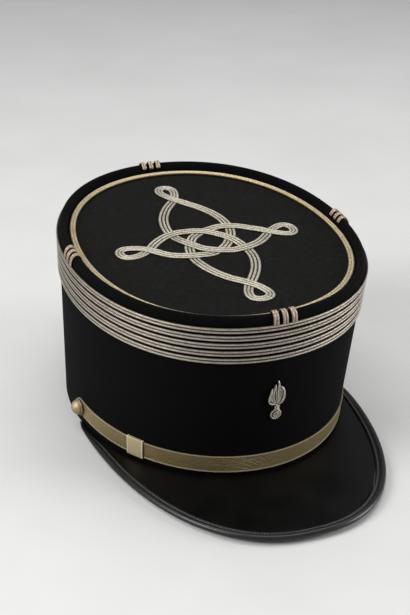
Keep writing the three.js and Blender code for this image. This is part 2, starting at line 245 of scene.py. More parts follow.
class Finish:
    """A material with its shader, and short ways to add nodes to it."""

    def __init__(self, name, **constants):
        self.material = bpy.data.materials.new(name)
        self.material.use_nodes = True
        self.tree = self.material.node_tree
        self.shader = self.tree.nodes["Principled BSDF"]
        for socket, value in constants.items():
            self.shader.inputs[socket].default_value = value

    def node(self, kind, **settings):
        made = self.tree.nodes.new(kind)
        for key, value in settings.items():
            if key in made.inputs:
                made.inputs[key].default_value = value
            else:
                setattr(made, key, value)
        return made

    def link(self, source, target):
        self.tree.links.new(source, target)

    def place(self):
        return self.node("ShaderNodeTexCoord").outputs["Object"]

    def noise(self, scale, detail=3, roughness=0.6, at=None):
        made = self.node("ShaderNodeTexNoise", Scale=scale, Detail=detail, Roughness=roughness)
        self.link(at or self.place(), made.inputs["Vector"])
        return made.outputs["Fac"]

    def vector(self, x, y):
        made = self.node("ShaderNodeCombineXYZ")
        self.link(x, made.inputs["X"])
        self.link(y, made.inputs["Y"])
        return made.outputs["Vector"]

    def attribute(self, name):
        return self.node("ShaderNodeAttribute", attribute_name=name).outputs["Fac"]

    def ramp(self, factor, *stops):
        made = self.node("ShaderNodeValToRGB")
        elements = made.color_ramp.elements
        while len(elements) < len(stops):
            elements.new(0.5)
        for element, (position, colour) in zip(elements, stops):
            element.position = position
            element.color = (*colour, 1)
        self.link(factor, made.inputs["Fac"])
        return made.outputs["Color"]

    def blend(self, factor, a, b):
        """Goes from a to b, each a socket or a plain colour."""
        made = self.node("ShaderNodeMix", data_type="RGBA")
        self.link(factor, made.inputs[MIX_FACTOR])
        for source, target in ((a, made.inputs[MIX_A]), (b, made.inputs[MIX_B])):
            if isinstance(source, tuple):
                target.default_value = (*source, 1)
            else:
                self.link(source, target)
        return made.outputs[MIX_RESULT]

    def level(self, factor, low, high):
        """Maps 0 to 1 on to low to high."""
        made = self.node("ShaderNodeMapRange", **{"To Min": low, "To Max": high})
        self.link(factor, made.inputs["Value"])
        return made.outputs["Result"]

    def math(self, operation, a, b):
        made = self.node("ShaderNodeMath", operation=operation)
        for source, target in ((a, made.inputs[0]), (b, made.inputs[1])):
            if isinstance(source, (int, float)):
                target.default_value = source
            else:
                self.link(source, target)
        return made.outputs[0]

    def bump(self, height, distance, strength=1.0):
        made = self.node("ShaderNodeBump", Strength=strength, Distance=distance)
        self.link(height, made.inputs["Height"])
        self.link(made.outputs["Normal"], self.shader.inputs["Normal"])

    def colour(self, source):
        self.link(source, self.shader.inputs["Base Color"])

    def rough(self, source):
        self.link(source, self.shader.inputs["Roughness"])


# %% Black cloth
def wool_cloth(name, dark, light, grain, sheen):
    finish = Finish(name, **{"Sheen Weight": sheen, "Sheen Roughness": 0.5, "Specular IOR Level": 0.05})
    fibres = finish.noise(grain, detail=4, roughness=0.75)
    felting = finish.noise(grain / 5, detail=4, roughness=0.7)
    nap = finish.math("MULTIPLY", fibres, finish.level(felting, low=0.5, high=1.5))
    finish.colour(finish.ramp(nap, (0.25, dark), (0.7, light)))
    finish.rough(finish.level(fibres, low=0.85, high=1))
    finish.bump(fibres, distance=0.0004, strength=0.5)
    return finish.material


crown_cloth = wool_cloth(
    "crown cloth", dark=(0.0006, 0.0006, 0.0007), light=(0.0022, 0.0022, 0.0024), grain=1900, sheen=0.006)
top_cloth = wool_cloth(
    "top cloth", dark=(0.0003, 0.0003, 0.0003), light=(0.0085, 0.0083, 0.0076), grain=1500, sheen=0.008)


# %% Metal lace
LACE_ROUGHNESS = 0.42


def metal_lace(name, painted_shade, face, glint):
    """Thread wound with metal: painted shade between the turns and down each strand's sides, painted
    highlight on their backs.
    """
    finish = Finish(name, Metallic=0.7)
    turns = finish.attribute("tone")
    specks = finish.noise(800, detail=4, roughness=0.8)
    age = finish.noise(60, detail=2)
    # Painted shade between the turns and down the strands' sides, painted highlight on their backs.
    thread = finish.ramp(turns, (0.0, painted_shade), (0.5, face), (1.0, glint))
    aged = finish.blend(finish.level(age, low=0.0, high=0.35), thread, face)
    # Random specks take the painted-shade colour too.
    finish.colour(finish.blend(finish.level(specks, low=-1.4, high=1.6), aged, painted_shade))
    finish.rough(finish.level(turns, low=LACE_ROUGHNESS + 0.2, high=LACE_ROUGHNESS - 0.1))
    finish.bump(specks, distance=0.0003, strength=0.8)
    return finish.material


silver_lace = metal_lace(
    "silver lace", painted_shade=(0.04, 0.034, 0.022), face=(0.4, 0.365, 0.287), glint=(0.84, 0.79, 0.665))
row_lace = metal_lace(
    "row lace", painted_shade=(0.012, 0.008, 0.006), face=(0.2, 0.165, 0.13), glint=(1.0, 0.92, 0.8))
pale_gold_lace = metal_lace(
    "pale gold lace", painted_shade=(0.14, 0.088, 0.03), face=(0.38, 0.31, 0.18), glint=(0.72, 0.625, 0.425))
stripe_lace = metal_lace(
    "stripe lace", painted_shade=(0.06, 0.038, 0.022), face=(0.29, 0.222, 0.15), glint=(0.64, 0.535, 0.4))

# %% [markdown]
# ## Crown and top
# The crown is one stiff wall of cloth, open below, with a padded roll round its top. The solid already has
# that section, but in 64 flat facets. Rolling a grid with many more steps through the same section gives a
# smooth wall, and a few extra points round off the bottom edge, where the cloth is turned under.

# %% The crown's wall
WALL_STEPS = 256
OUTER_ROWS = 12
ROLL_ROWS = 18
INNER_ROWS = 6
BELOW_ROLL = 0.98
EDGE_TURN = 0.9
FOOT_ROUND = 0.6
FOOT_LIFT = 0.2


def outer_row(share):
    return lambda t: wall_point(t, EDGE_TURN + share * (crest_at(t) - ROLL_OUTER_DROP - EDGE_TURN))


def inner_row(share):
    return lambda t: wall_point(t, EDGE_TURN + share * (crest_at(t) - ROLL_UNDERSIDE), -WALL_THICKNESS)


def roll_row(roll):
    return lambda t: roll_point(t, roll)


def foot_row(z, inward):
    return lambda t: wall_point(t, z, -inward)


def crown_section():
    """The wall's section as functions of t: up outside, over the roll, down inside, under the foot."""
    rows = [outer_row(share) for share in evenly(OUTER_ROWS, 0, BELOW_ROLL)]
    rows += [roll_row(roll) for roll in evenly(ROLL_ROWS, 0, math.pi)]
    rows.append(lambda t: top_point(t, ROLL_INNER_IN, -TOP_THICKNESS - GAP))
    rows += [inner_row(share) for share in evenly(INNER_ROWS, 1, 0)]
    rows.append(foot_row(FOOT_LIFT, WALL_THICKNESS - FOOT_ROUND))
    rows.append(foot_row(0, WALL_THICKNESS / 2))
    rows.append(foot_row(FOOT_LIFT, FOOT_ROUND))
    return rows


crown = rolled(crown_section(), WALL_STEPS, lambda s, point: point(s * TURN))
piece("crown_wall_cloth", crown, crown_cloth, "crown_cloth", "crown_wall")


# %% The sunk top
TOP_RINGS = 6
TOP_RING_SHARE = 0.14


def sunk_top():
    """A disc of cloth over a board: an oval with rings of faces inside it, extruded downwards."""
    bm = bmesh.new()
    bmesh.ops.create_circle(bm, cap_ends=True, segments=WALL_STEPS, radius=1)
    for _ in range(TOP_RINGS):
        middle = [f for f in bm.faces if len(f.verts) > 4]
        bmesh.ops.inset_region(bm, faces=middle, thickness=TOP_RING_SHARE, use_even_offset=True)
    for v in bm.verts:
        edge = rim_point(math.atan2(v.co.y, v.co.x), ROLL_INNER_IN + GAP, 0)
        reach = min(v.co.length, 1)
        y = RIM.centre_y + (edge.y - RIM.centre_y) * reach
        v.co = Vector((edge.x * reach, y, top_plane(y)))
    grown = bmesh.ops.extrude_face_region(bm, geom=bm.faces[:])["geom"]
    under = [v for v in grown if isinstance(v, bmesh.types.BMVert)]
    bmesh.ops.translate(bm, verts=under, vec=(0, 0, -TOP_THICKNESS))
    bmesh.ops.recalc_face_normals(bm, faces=bm.faces)
    for v in bm.verts:
        v.co = to_scene(v.co)
    return bm


piece("crown_top_cloth", sunk_top(), top_cloth, "top_cloth", "crown_top")

# %% [markdown]
# ## Soutache
# The narrow lace on a kepi is soutache: two round strands side by side with a groove between them. The
# threads slant one way on one strand and the other way on its neighbour, so it looks like a row of
# arrows. Its section is two lobes, and slanting ribs are pressed into them as the grid is rolled. How high
# a point lies on its thread, and how near the back of its strand, is kept as the measure "tone". The lace
# finish reads it to paint shade between the threads and down the strands' sides, and a highlight on their
# backs.

# %% A two-lobed section
LOBE_POINTS = 8
LOBE_START = math.radians(215)
LOBE_END = math.radians(-90)
RIB_HEIGHT = 0.07
RIB_PITCH = 0.95
RIB_SLANT = 1.8
RIB_LOWEST_ANGLE = -1
STEPS_PER_RIB = 4
# The tone between threads and how fast it falls down a strand's sides set the painted shade.
HOLLOW_TONE = 0.35
BACK_GAIN = 1.5
BACK_DROP = 0.3


def two_lobes(lobe, centre):
    """Both lobes as a side and an angle. Wide lobes stop where they meet, narrow ones reach the cloth."""
    start = math.acos(-centre / lobe) if centre < lobe else LOBE_START
    return [(side, angle) for side in (1, -1) for angle in evenly(LOBE_POINTS, start, LOBE_END)[::side]]


def rib_at(s, ribs, side, angle):
    """1 on the back of a slanting thread, 0 between two, where the lace finish paints shade."""
    return 0.5 + 0.5 * math.cos(TURN * ribs * s + side * RIB_SLANT * angle)


def back_of(angle):
    """1 on the back of a strand, 0 down its sides, where the lace finish paints shade."""
    return clamp(BACK_GAIN * math.sin(angle) - BACK_DROP)


def thread_tone(rib, angle, painted_shade=HOLLOW_TONE):
    """1 on the back of a thread on the back of a strand, less between threads and down the sides. It masks
    painted shade and highlight.
    """
    return (painted_shade + (1 - painted_shade) * rib) * back_of(angle)


def soutache(length, width, thickness, place, fill, closed=True, taper=None):
    """Rolls a two-lobed lace. With a fill of 1 the lobes just touch."""
    ribs = max(3, round(length / RIB_PITCH))
    lobe = width / 4 * fill
    centre = width / 2 - lobe

    def seat(s, item):
        side, angle = item
        grow = taper(s) if taper else 1
        rib = RIB_HEIGHT * rib_at(s, ribs, side, angle) if angle > RIB_LOWEST_ANGLE else 0
        across = side * (centre + (lobe + rib) * math.cos(angle)) * grow
        out = GAP + (thickness / 2 + (thickness / 2 + rib) * math.sin(angle)) * grow
        return place(s, across, out)

    # Painted shade and highlight for the lace finish.
    def tone(s, item):
        side, angle = item
        return thread_tone(rib_at(s, ribs, side, angle), angle)

    return rolled(two_lobes(lobe, centre), ribs * STEPS_PER_RIB, seat, closed, tone=tone)


# %% Rows round the crown
BRAID_ROWS = 5
BRAID_FIRST_DROP = 5.2
BRAID_PITCH = 4.9
BRAID_WIDTH = 4.1
BRAID_LACE_WIDTH = 3.5
BRAID_THICKNESS = 1.3
CROWN_ROUND = TURN * (RIM.half_width + RIM.half_length) / 2

for row in range(BRAID_ROWS):
    name = f"braid_row_{row + 1}"
    drop = BRAID_FIRST_DROP + BRAID_WIDTH / 2 + row * BRAID_PITCH

    def on_wall(s, across, out, drop=drop):
        return wall_point(s * TURN, crest_at(s * TURN) - drop + across, out)

    lace = soutache(CROWN_ROUND, BRAID_LACE_WIDTH, BRAID_THICKNESS, on_wall, fill=0.9)
    piece(f"{name}_lace", lace, row_lace, "silver_braid", name, ribbed=True)

# %% The ring on the sunk top
RING_INWARD = 8.4
RING_WIDTH = 3.5
RING_THICKNESS = 1.5
RING_PRESS = 0.2
RING_ROUND = CROWN_ROUND - TURN * RING_INWARD


def on_top_edge(s, across, out):
    """A place on the ring, which is pressed flatter in front than behind."""
    return top_point(s * TURN, RING_INWARD - across, out * (1 + RING_PRESS * math.sin(s * TURN)))


ring = soutache(RING_ROUND, RING_WIDTH, RING_THICKNESS, on_top_edge, fill=1.1)
piece("top_ring_braid_lace", ring, pale_gold_lace, "pale_gold_braid", "top_ring_braid", ribbed=True)

# %% [markdown]
# Three short lengths of the same lace climb over the rim on each of the four sides. Their lower ends meet
# the first row, and their inner ends are turned under, so those are rounded.

# %% Stripes over the rim
STRIPES_A_SIDE = 3
STRIPE_PITCH = 5.3
STRIPE_WIDTH = 3.2
STRIPE_THICKNESS = 1.1
STRIPE_START = math.radians(-5)
STRIPE_END = math.radians(145)
STRIPE_LENGTH = 16
STRIPE_ROUND = STRIPE_WIDTH / 3
LEAST_END = 0.03
STRIPE_SIDES = {"front": 271, "right": 181.1, "back": 90, "left": 356.8}


def rounded_inner_end(s):
    past = max(0, 1 - (1 - s) * STRIPE_LENGTH / STRIPE_ROUND)
    return math.sqrt(max(LEAST_END, 1 - past ** 2))


for side, degrees in STRIPE_SIDES.items():
    t = math.radians(degrees)
    speed = oval_speed(RIM, t)
    for i in range(STRIPES_A_SIDE):
        shift = (i - (STRIPES_A_SIDE - 1) / 2) * STRIPE_PITCH

        def over_rim(s, across, out, t=t, shift=shift, speed=speed):
            roll = STRIPE_START + s * (STRIPE_END - STRIPE_START)
            return roll_point(t + (shift + across) / speed, roll, out)

        lace = soutache(STRIPE_LENGTH, STRIPE_WIDTH, STRIPE_THICKNESS, over_rim, fill=1, closed=False,
                        taper=rounded_inner_end)
        name = f"rim_stripe_{side}_{i + 1}"
        piece(f"{name}_lace", lace, stripe_lace, "pale_gold_braid", name, ribbed=True)

# %% [markdown]
# ## The knot on the top
# The knot is one endless band of three strands. It goes three times round the middle and makes a small loop
# at the end of each arm. Laid flat it would run through itself, so the script walks along the band and
# finds every place where it meets itself. There the stretch that was laid last lies on top of the other.

# %% The knot's path
Arm = namedtuple("Arm", "degrees crossing tip power loop_half")
KNOT_MIDDLE = Vector((-0.6, -11.8))
KNOT_WAIST = 10.8
ARC_POINTS = 90
LOOP_POINTS = 32
CORNER_SMOOTHING = 4
ARMS = [
    Arm(89.9, 59.7, 79.5, 2.74, 4.8),
    Arm(180, 38.3, 56.5, 2.23, 5.9),
    Arm(271.5, 55.8, 74.6, 2.91, 6.1),
    Arm(360.4, 38.6, 55.2, 2.31, 6.3),
]


def polar(angle, radius):
    return KNOT_MIDDLE + Vector((math.cos(angle), math.sin(angle))) * radius


def knot_arc(start, end):
    """Three quarters of a turn round the middle, from the end of one arm to the end of the next."""
    turn = math.radians((start.degrees - end.degrees) % 360)
    points = []
    for s in evenly(ARC_POINTS, 0, 1)[:-1]:
        arm = start if s < 0.5 else end
        radius = KNOT_WAIST + (arm.crossing - KNOT_WAIST) * abs(2 * s - 1) ** arm.power
        points.append(polar(math.radians(start.degrees) - s * turn, radius))
    return points


def knot_loop(arm):
    """A teardrop round the tip of an arm, from the crossing back to the crossing."""
    angle = math.radians(arm.degrees)
    across = Vector((-math.sin(angle), math.cos(angle)))
    points = []
    for s in evenly(LOOP_POINTS, -1, 1)[:-1]:
        along = arm.crossing + (arm.tip - arm.crossing) * math.cos(s * math.pi / 2)
        points.append(polar(angle, along) + across * arm.loop_half * math.sin(s * math.pi))
    return points


def smoothed(values, times):
    """Averages each value of a closed list with its two neighbours."""
    for _ in range(times):
        following = values[1:] + values[:1]
        values = [(values[i - 1] + v * 2 + after) / 4 for i, (v, after) in enumerate(zip(values, following))]
    return values


def length_of(points):
    return sum((b - a).length for a, b in zip(points, points[1:] + points[:1]))


def evened(points, count):
    """The same closed path, with points at equal distances along it."""
    ends = points[1:] + points[:1]
    stride = length_of(points) / count
    result = []
    done = 0
    for a, b in zip(points, ends):
        step = (b - a).length
        while len(result) < count and len(result) * stride < done + step:
            result.append(a.lerp(b, (len(result) * stride - done) / step))
        done += step
    return result


knot_corners = []
for start, end in zip(ARMS, ARMS[1:] + ARMS[:1]):
    knot_corners += knot_arc(start, end) + knot_loop(end)
knot_corners = smoothed(knot_corners, CORNER_SMOOTHING)
KNOT_LENGTH = length_of(knot_corners)
KNOT_RIBS = round(KNOT_LENGTH / RIB_PITCH)
KNOT_STEPS = KNOT_RIBS * STEPS_PER_RIB
knot_path = evened(knot_corners, KNOT_STEPS)
print("the knot's band is", round(KNOT_LENGTH), "mm long, in", len(knot_path), "steps")


# %% Over and under
def meeting(a, b, c, d):
    """Shares along ab and cd where the two short lines cross, or None."""
    first, second, between = b - a, d - c, c - a
    turn = first.cross(second)
    if abs(turn) < 1e-9:
        return None
    s, t = between.cross(second) / turn, between.cross(first) / turn
    return (s, t) if 0 <= s < 1 and 0 <= t < 1 else None


def crossings(path, stride):
    """Both places, as shares of the path's length, for every time that the path meets itself."""
    coarse = path[::stride]
    ends = coarse[1:] + coarse[:1]
    count = len(coarse)
    found = []
    for i in range(count):
        for j in range(i + 2, count - (i == 0)):
            hit = meeting(coarse[i], ends[i], coarse[j], ends[j])
            if hit:
                found.append(((i + hit[0]) / count, (j + hit[1]) / count))
    return found


LAID_LAST = Vector((0.92, -0.39))
LOOK_AROUND = 4
CROSSING_SEGMENTS = 500


def knot_direction(i):
    return (knot_path[(i + LOOK_AROUND) % KNOT_STEPS] - knot_path[i - LOOK_AROUND]).normalized()


def laid_late(s):
    """How closely the band follows the line of the stretches that were laid last."""
    return abs(knot_direction(round(s * KNOT_STEPS)).dot(LAID_LAST))


knot_crossings = crossings(knot_path, KNOT_STEPS // CROSSING_SEGMENTS)
knot_crossings = [sorted(pair, key=laid_late) for pair in knot_crossings]
print("the band crosses itself", len(knot_crossings), "times")

KNOT_LIFT = 0.38
KNOT_PRESS = 0.5
LIFT_FLAT = 3.4
LIFT_FADE = 10


def near(s, places):
    """1 close to one of the places along the knot, fading to 0 away from them."""
    nearest = min(abs((s - place + 0.5) % 1 - 0.5) for place in places) * KNOT_LENGTH
    fade = clamp((nearest - LIFT_FLAT) / LIFT_FADE)
    return 1 - fade * fade * (3 - 2 * fade)


shares = [i / KNOT_STEPS for i in range(KNOT_STEPS)]
knot_over = [near(s, [over for _, over in knot_crossings]) for s in shares]
knot_under = [near(s, [under for under, _ in knot_crossings]) for s in shares]

# %% Three strands side by side
KNOT_STRANDS = 3
KNOT_STRAND_POINTS = 7
KNOT_ARM_WIDTH = 6.6
KNOT_LOOP_WIDTH = 5.7
KNOT_THICKNESS = 0.75
KNOT_GAP = 0.1
ARM_FILL = 0.76
LOOP_FILL = 0.9
LOOP_FADE = 6
LOOP_SMOOTHING = 30
SIDE_ARM_SHARE = 0.9


def in_loop(point):
    """1 round the loop of an arm, 0 on the arcs."""
    from_middle = point - KNOT_MIDDLE
    sideways = abs(from_middle.x) > abs(from_middle.y) * SIDE_ARM_SHARE
    crossing = (ARMS[1] if sideways else ARMS[0]).crossing
    return clamp((from_middle.length - crossing) / LOOP_FADE + 0.5)


knot_looped = smoothed([in_loop(point) for point in knot_path], LOOP_SMOOTHING)
knot_across = []
for i in range(KNOT_STEPS):
    along = knot_direction(i)
    knot_across.append(Vector((-along.y, along.x)))


def knot_strand(lane):
    slant = 1 if lane else -1

    def seat(s, angle):
        i = round(s * KNOT_STEPS) % KNOT_STEPS
        looped = knot_looped[i]
        pitch = (KNOT_ARM_WIDTH + (KNOT_LOOP_WIDTH - KNOT_ARM_WIDTH) * looped) / KNOT_STRANDS
        half = pitch * (ARM_FILL + (LOOP_FILL - ARM_FILL) * looped) / 2
        rib = RIB_HEIGHT * rib_at(s, KNOT_RIBS, slant, angle)
        thick = KNOT_THICKNESS / 2 * (1 - KNOT_PRESS * knot_under[i])
        plan = knot_path[i] + knot_across[i] * (lane * pitch + (half + rib) * math.cos(angle))
        height = KNOT_GAP + thick + (thick + rib) * math.sin(angle) + KNOT_LIFT * knot_over[i]
        return Vector((plan.x, plan.y, top_plane(plan.y) + height))

    # Painted shade and highlight for the lace finish, as on the soutache.
    def tone(s, angle):
        return thread_tone(rib_at(s, KNOT_RIBS, slant, angle), angle)

    section = evenly(KNOT_STRAND_POINTS, math.pi / 2, math.pi / 2 + TURN)[:-1]
    return rolled(section, KNOT_STEPS, seat, tone=tone)


knot = join([knot_strand(lane) for lane in (-1, 0, 1)])
piece("top_knot_lace", knot, silver_lace, "silver_braid", "top_knot", ribbed=True)

# %% [markdown]
# ## Chin strap, slides and buttons
# The strap is a flat lace of dull gold with a firm selvedge along both edges. It lies round the front of
# the crown and is held by a gilt button at each end. Two loops of the same lace slide along it. The weave
# is far too fine for geometry, so it comes from two measures that the rolled grid keeps, in millimetres:
# how far along the lace a point is, and how far across.

# %% Strap lace
THREAD_PITCH = 0.75
STRAP_RIB_PITCH = 0.95
THREAD_SLANT = 0.7
STREAK_SHARE = 0.2


def strap_finish(name, ground, thread, edge):
    """Flat lace: slanting threads between fine ribs, worn in streaks, and paler lines along the edges."""
    finish = Finish(name, Metallic=0.4)
    along = finish.attribute("along")
    across = finish.attribute("across")
    rib = finish.math("MULTIPLY", across, TURN / STRAP_RIB_PITCH)
    turns = finish.math("MULTIPLY", along, TURN / THREAD_PITCH)
    slant = finish.math("ADD", turns, finish.math("MULTIPLY", rib, THREAD_SLANT))
    crests = finish.math("ADD", finish.math("SINE", slant, 0), finish.math("SINE", rib, 0))
    weave = finish.level(crests, low=-1, high=2)
    stretched = finish.vector(finish.math("MULTIPLY", along, STREAK_SHARE), across)
    streaks = finish.noise(1, detail=4, roughness=0.7, at=stretched)
    fuzz = finish.noise(1600, detail=2)
    patches = finish.level(streaks, low=-1.6, high=3.6)
    lit = finish.math("MULTIPLY", finish.level(fuzz, low=0.6, high=1.4), patches)
    threads = finish.ramp(finish.math("MULTIPLY", weave, lit), (0.1, ground), (0.9, thread))
    worn = finish.blend(finish.level(finish.noise(45), low=0.0, high=0.5), threads, ground)
    finish.colour(finish.blend(finish.attribute("tone"), worn, edge))
    finish.rough(finish.level(weave, low=0.6, high=0.4))
    finish.bump(weave, distance=0.0002, strength=0.6)
    return finish.material


strap_lace = strap_finish(
    "strap lace", ground=(0.11, 0.08, 0.031), thread=(0.43, 0.33, 0.15), edge=(0.42, 0.36, 0.245))
# On the slides the edge colour is a painted highlight on the cord at each end.
slide_lace = strap_finish(
    "slide lace", ground=(0.42, 0.345, 0.195), thread=(0.66, 0.565, 0.35), edge=(0.8, 0.72, 0.52))

# %% The strap
BUTTON_ANGLE = math.radians(187.7)
STRAP_MIDDLE = 10.1
STRAP_RISE = 3
STRAP_WIDTH = 11.4
STRAP_THICKNESS = 1.1
STRAP_BACK = 0.1
STRAP_FACE = 0.95
SELVEDGE = 0.9
SELVEDGE_HEIGHT = 0.18
SELVEDGE_FOOT = 1.2 * SELVEDGE
SELVEDGE_START = -0.4
SELVEDGE_TONE = 0.6
BACK_INSET = 0.2
LEAST_REACH = 0.01
STRAP_STEPS = 420
LacePoint = namedtuple("LacePoint", "across out")


def strap_height(t):
    aside = abs(t - FRONT) / (FRONT - BUTTON_ANGLE)
    return STRAP_MIDDLE + STRAP_RISE * aside ** 4


def lace_section(width, back, front):
    """A flat strip with a thin cord along each edge, as points across it and out from the wall."""
    half = width / 2
    cord = [LacePoint(half - SELVEDGE / 2 * (1 - math.cos(a)), front - SELVEDGE_HEIGHT * (1 - math.sin(a)))
            for a in evenly(6, SELVEDGE_START, math.pi)]
    inside = half - SELVEDGE_FOOT
    flat = [LacePoint(a, front - SELVEDGE_HEIGHT) for a in evenly(8, inside, -inside)]
    far = [LacePoint(-p.across, p.out) for p in reversed(cord)]
    under = [LacePoint(a, back) for a in evenly(4, BACK_INSET - half, half - BACK_INSET)]
    return cord + flat + far + under


def chin_strap():
    half = STRAP_WIDTH / 2
    round_end = half / oval_speed(BASE, BUTTON_ANGLE)
    first = BUTTON_ANGLE - round_end
    last = 2 * FRONT - first
    length = (last - first) * (BASE.half_width + BASE.half_length) / 2

    def seat(s, p):
        t = first + (last - first) * s
        held = min(max(t, BUTTON_ANGLE), 2 * FRONT - BUTTON_ANGLE)
        past_end = abs(t - held) / round_end
        reach = math.sqrt(max(LEAST_REACH, 1 - past_end ** 2))
        return wall_point(t, strap_height(held) + p.across * reach, p.out)

    def selvedge(s, p):
        return SELVEDGE_TONE if abs(p.across) > half - SELVEDGE else 0

    section = lace_section(STRAP_WIDTH, STRAP_BACK, STRAP_FACE)
    return rolled(section, STRAP_STEPS, seat, closed=False, tone=selvedge,
                  along=lambda s, p: s * length, across=lambda s, p: p.across)


piece("chin_strap_lace", chin_strap(), strap_lace, "strap_lace", "chin_strap")

# %% Slides on the strap
SLIDE_LENGTH = 11.2
SLIDE_WALL = 0.6
SLIDE_CLEAR = 0.15
SLIDE_CORNER = 0.5
SLIDE_LIP = 0.7
SLIDE_LIP_HEIGHT = 0.15
SLIDE_STEPS = 64
SLIDES = {"right": math.radians(218.2), "left": math.radians(338)}


def slide_section(inner, outer, face, front):
    corner = [LacePoint(outer - SLIDE_CORNER * (1 - math.cos(a)), front - SLIDE_CORNER * (1 - math.sin(a)))
              for a in evenly(4, 0, math.pi / 2)]
    near_side = [LacePoint(inner, STRAP_BACK), LacePoint(outer, STRAP_BACK)] + corner
    flat = outer - 2 * SLIDE_CORNER
    middle = [LacePoint(a, front) for a in evenly(8, flat, -flat)]
    far_side = [LacePoint(-p.across, p.out) for p in reversed(near_side)]
    return near_side + middle + far_side + [LacePoint(-inner, face), LacePoint(inner, face)]


def strap_slide(angle):
    inner = STRAP_WIDTH / 2 + SLIDE_CLEAR
    outer = inner + SLIDE_WALL
    face = STRAP_FACE + SLIDE_CLEAR
    front = face + SLIDE_WALL
    half = SLIDE_LENGTH / 2 / oval_speed(BASE, angle)

    def lip(s):
        """1 in the middle of the cord that finishes each end, 0 away from it."""
        edge = min(s, 1 - s) * SLIDE_LENGTH / SLIDE_LIP
        return math.sin(edge * math.pi) if edge < 1 else 0

    def seat(s, p):
        t = angle + half * (2 * s - 1)
        proud = SLIDE_LIP_HEIGHT * lip(s) if p.out > face else 0
        return wall_point(t, strap_height(t) + p.across, p.out + proud)

    # The cord at each end takes the paler edge colour as a painted highlight.
    def painted_end_highlight(s, p):
        return 1 if lip(s) > 0 else 0

    return rolled(slide_section(inner, outer, face, front), SLIDE_STEPS, seat, closed=False, tone=painted_end_highlight,
                  along=lambda s, p: s * SLIDE_LENGTH, across=lambda s, p: p.across)


for side, angle in SLIDES.items():
    piece(f"strap_slide_{side}_lace", strap_slide(angle), slide_lace, "strap_lace", f"strap_slide_{side}")


# %% Gilt
def gilt_finish():
    finish = Finish("button gilt", Metallic=1.0)
    tarnish = finish.noise(420, detail=4)
    finish.colour(finish.ramp(tarnish, (0.3, (0.33, 0.255, 0.14)), (0.7, (0.46, 0.38, 0.24))))
    finish.rough(finish.level(tarnish, low=0.54, high=0.68))
    finish.bump(tarnish, distance=0.00005, strength=0.3)
    return finish.material


button_gilt = gilt_finish()

# %% Buttons
BUTTON_RADIUS = 5.3
BUTTON_FLANGE = 0.7
BUTTON_STEP = 0.6
BUTTON_DOME = 4.3
BUTTON_STEPS = 64
BUTTON_GROOVE = 0.35
GROOVE_OUTSIDE = 0.15
GROOVE_INSIDE = 0.1
BUTTON_NECK = 3.2
BUTTON_SHANK = 2 * GAP + STRAP_THICKNESS - STRAP_FACE


def button_profile():
    """Half a section of the button, as radius and height: shank, rounded flange, groove and dome."""
    bead = BUTTON_FLANGE / 2
    dome = BUTTON_RADIUS - BUTTON_STEP
    foot = [(0, -BUTTON_SHANK), (BUTTON_NECK, -BUTTON_SHANK), (BUTTON_NECK, 0), (BUTTON_RADIUS - bead, 0)]
    flange = [(BUTTON_RADIUS - bead + bead * math.cos(a), bead + bead * math.sin(a))
              for a in evenly(8, -math.pi / 2, math.pi / 2)]
    sunk = BUTTON_FLANGE - BUTTON_GROOVE
    groove = [(dome + GROOVE_OUTSIDE, sunk), (dome - GROOVE_INSIDE, sunk)]
    cap = [(dome * math.cos(a), BUTTON_FLANGE + BUTTON_DOME * math.sin(a))
           for a in evenly(14, 0, math.pi / 2)]
    return foot + flange + groove + cap


def button(angle):
    bm = bmesh.new()
    verts = [bm.verts.new((radius, 0, height)) for radius, height in button_profile()]
    edges = [bm.edges.new(pair) for pair in zip(verts, verts[1:])]
    bmesh.ops.spin(bm, geom=verts + edges, axis=(0, 0, 1), cent=(0, 0, 0), angle=TURN, steps=BUTTON_STEPS,
                   use_merge=True)
    bmesh.ops.remove_doubles(bm, verts=bm.verts, dist=MERGE_DISTANCE / MM)
    bmesh.ops.recalc_face_normals(bm, faces=bm.faces)
    height = strap_height(angle)
    seat = wall_point(angle, height, 2 * GAP + STRAP_THICKNESS)
    turn = wall_facing(angle, height).to_track_quat("Z", "Y").to_matrix().to_4x4()
    bmesh.ops.transform(bm, matrix=Matrix.Translation(seat) @ turn, verts=bm.verts)
    for v in bm.verts:
        v.co = to_scene(v.co)
    return bm


for side, angle in (("right", BUTTON_ANGLE), ("left", 2 * FRONT - BUTTON_ANGLE)):
    piece(f"strap_button_{side}_gilt", button(angle), button_gilt, "button_gilt", f"strap_button_{side}")


# %% [markdown]
# ## The peak
# The peak is a flat sheet of black leather, bound along its edge with a rolled strip that shows as two
# beads. Both follow one outline, a rounded-off ellipse, so the outline is written once.

# %% Leather
def leather(name, dark, light, roughness, specular, grain):
    finish = Finish(name, **{"Specular IOR Level": specular})
    pores = finish.node("ShaderNodeTexVoronoi", feature="DISTANCE_TO_EDGE", Scale=grain)
    finish.link(finish.place(), pores.inputs["Vector"])
    wear = finish.noise(38, detail=5)
    finish.colour(finish.ramp(wear, (0.35, dark), (0.75, light)))
    finish.rough(finish.level(wear, low=roughness - 0.08, high=roughness + 0.12))
    finish.bump(pores.outputs["Distance"], distance=0.00012, strength=0.35)
    return finish.material


peak_leather = leather(
    "peak leather", dark=(0.0009, 0.0009, 0.0009), light=(0.0028, 0.0028, 0.0027),
    roughness=0.4, specular=0.14, grain=900)
binding_leather = leather(
    "binding leather", dark=(0.004, 0.004, 0.0039), light=(0.011, 0.011, 0.0105),
    roughness=0.34, specular=0.38, grain=1100)

